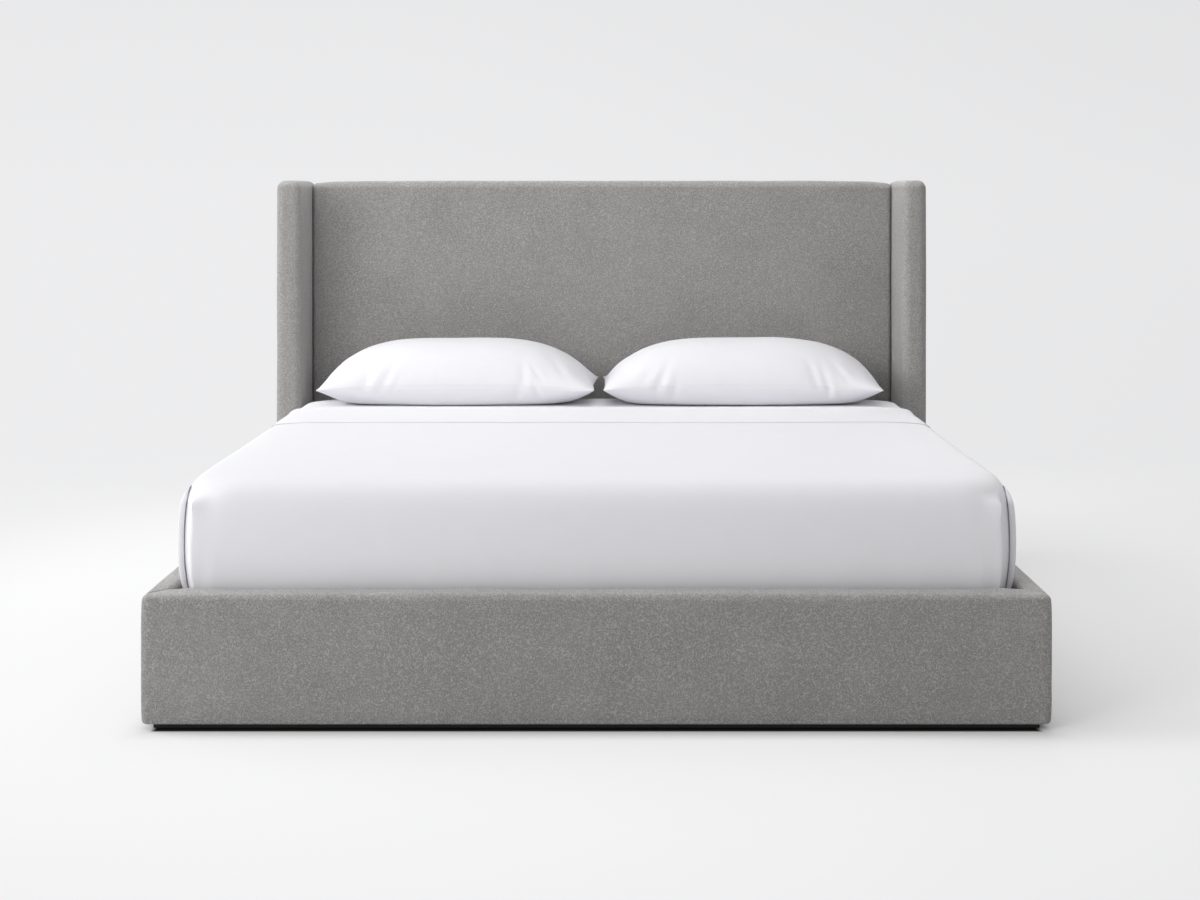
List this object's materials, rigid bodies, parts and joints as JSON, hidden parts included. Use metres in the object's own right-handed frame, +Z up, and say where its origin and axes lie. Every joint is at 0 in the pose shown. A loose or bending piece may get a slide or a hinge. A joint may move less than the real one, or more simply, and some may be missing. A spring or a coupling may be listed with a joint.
{
  "type": "wingback bed",
  "caption": "Upholstered wingback platform bed with deep winged headboard, low padded rails, slatted base, made-up mattress and pillows.",
  "frame": {"origin": "on the floor under the middle of the bed's overall box", "axes": "+Z up, +Y towards the headboard, +X to the right seen from the foot"},
  "size_m": [2.092, 2.2096, 1.248],
  "materials": {
    "grey_fabric": "mid grey short-pile upholstery cloth",
    "upholstery_foam": "open-cell upholstery foam",
    "pine_frame": "planed softwood and plywood",
    "birch_slats": "sanded birch",
    "back_cloth": "black nonwoven dust cloth",
    "webbing": "woven tape",
    "black_runner": "matte black plastic",
    "black_steel": "black powder coat",
    "zinc_steel": "bright zinc",
    "mattress_ticking": "knitted ticking",
    "white_sheet": "smooth white cotton",
    "pillow_ticking": "cotton ticking",
    "white_pillowcase": "smooth white cotton"
  },
  "bodies": {
    "bed_frame": {"beam_hangers": "black_steel", "centre_beam": "pine_frame", "centre_leg_1": "pine_frame", "centre_leg_2": "pine_frame", "centre_leg_3": "pine_frame", "foot_corner_brackets": "black_steel", "foot_runner": "black_runner", "footboard_board": "pine_frame", "footboard_cover": "grey_fabric", "footboard_padding": "upholstery_foam", "head_joint_plates": "black_steel", "headboard_back_cloth": "back_cloth", "headboard_cover": "grey_fabric", "headboard_cross_rails": "pine_frame", "headboard_glides": "black_runner", "headboard_padding": "upholstery_foam", "headboard_panel": "pine_frame", "headboard_posts": "pine_frame", "joint_bolts": "zinc_steel", "joint_inserts": "zinc_steel", "ledger_screws": "zinc_steel", "left_ledger": "pine_frame", "left_rail_board": "pine_frame", "left_rail_cover": "grey_fabric", "left_rail_padding": "upholstery_foam", "left_runner": "black_runner", "left_wing_core": "pine_frame", "left_wing_cover": "grey_fabric", "left_wing_padding": "upholstery_foam", "right_ledger": "pine_frame", "right_rail_board": "pine_frame", "right_rail_cover": "grey_fabric", "right_rail_padding": "upholstery_foam", "right_runner": "black_runner", "right_wing_core": "pine_frame", "right_wing_cover": "grey_fabric", "right_wing_padding": "upholstery_foam", "slat_straps": "webbing", "slats": "birch_slats", "wing_bolts": "zinc_steel", "wing_inserts": "zinc_steel"},
    "made_mattress": {"mattress": "mattress_ticking", "fitted_sheet": "white_sheet", "flat_sheet": "white_sheet"},
    "left_pillow_set": {"left_pillow": "pillow_ticking", "left_pillowcase": "white_pillowcase"},
    "right_pillow_set": {"right_pillow": "pillow_ticking", "right_pillowcase": "white_pillowcase"},
    "leveller_pad_1": {"leveller_pad_1": "black_runner"},
    "leveller_stem_1": {"leveller_stem_1": "zinc_steel"},
    "leveller_pad_2": {"leveller_pad_2": "black_runner"},
    "leveller_stem_2": {"leveller_stem_2": "zinc_steel"},
    "leveller_pad_3": {"leveller_pad_3": "black_runner"},
    "leveller_stem_3": {"leveller_stem_3": "zinc_steel"}
  },
  "joints": [
    {"name": "mattress_lift", "type": "slide", "parent": "bed_frame", "child": "made_mattress", "axis": [0, 0, 1], "range_m": [0, 1.02]},
    {"name": "left_pillow_lift", "type": "slide", "parent": "made_mattress", "child": "left_pillow_set", "axis": [0, 0, 1], "range_m": [0, 0.72]},
    {"name": "right_pillow_lift", "type": "slide", "parent": "made_mattress", "child": "right_pillow_set", "axis": [0, 0, 1], "range_m": [0, 0.72]},
    {"name": "leveller_travel_1", "type": "slide", "parent": "bed_frame", "child": "leveller_pad_1", "axis": [0, 0, 1], "range_m": [0, 0.009]},
    {"name": "leveller_turn_1", "type": "hinge", "parent": "leveller_pad_1", "child": "leveller_stem_1", "pos_m": [0, -0.6495, 0.02], "axis": [0, 0, 1], "range_deg": [0, 2160]},
    {"name": "leveller_travel_2", "type": "slide", "parent": "bed_frame", "child": "leveller_pad_2", "axis": [0, 0, 1], "range_m": [0, 0.009]},
    {"name": "leveller_turn_2", "type": "hinge", "parent": "leveller_pad_2", "child": "leveller_stem_2", "pos_m": [0, -0.0095, 0.02], "axis": [0, 0, 1], "range_deg": [0, 2160]},
    {"name": "leveller_travel_3", "type": "slide", "parent": "bed_frame", "child": "leveller_pad_3", "axis": [0, 0, 1], "range_m": [0, 0.009]},
    {"name": "leveller_turn_3", "type": "hinge", "parent": "leveller_pad_3", "child": "leveller_stem_3", "pos_m": [0, 0.6305, 0.02], "axis": [0, 0, 1], "range_deg": [0, 2160]}
  ],
  "couplings": [
    {"joint": "leveller_turn_1", "follows": "leveller_travel_1", "rad_per_m": 4188.8},
    {"joint": "leveller_turn_2", "follows": "leveller_travel_2", "rad_per_m": 4188.8},
    {"joint": "leveller_turn_3", "follows": "leveller_travel_3", "rad_per_m": 4188.8}
  ]
}
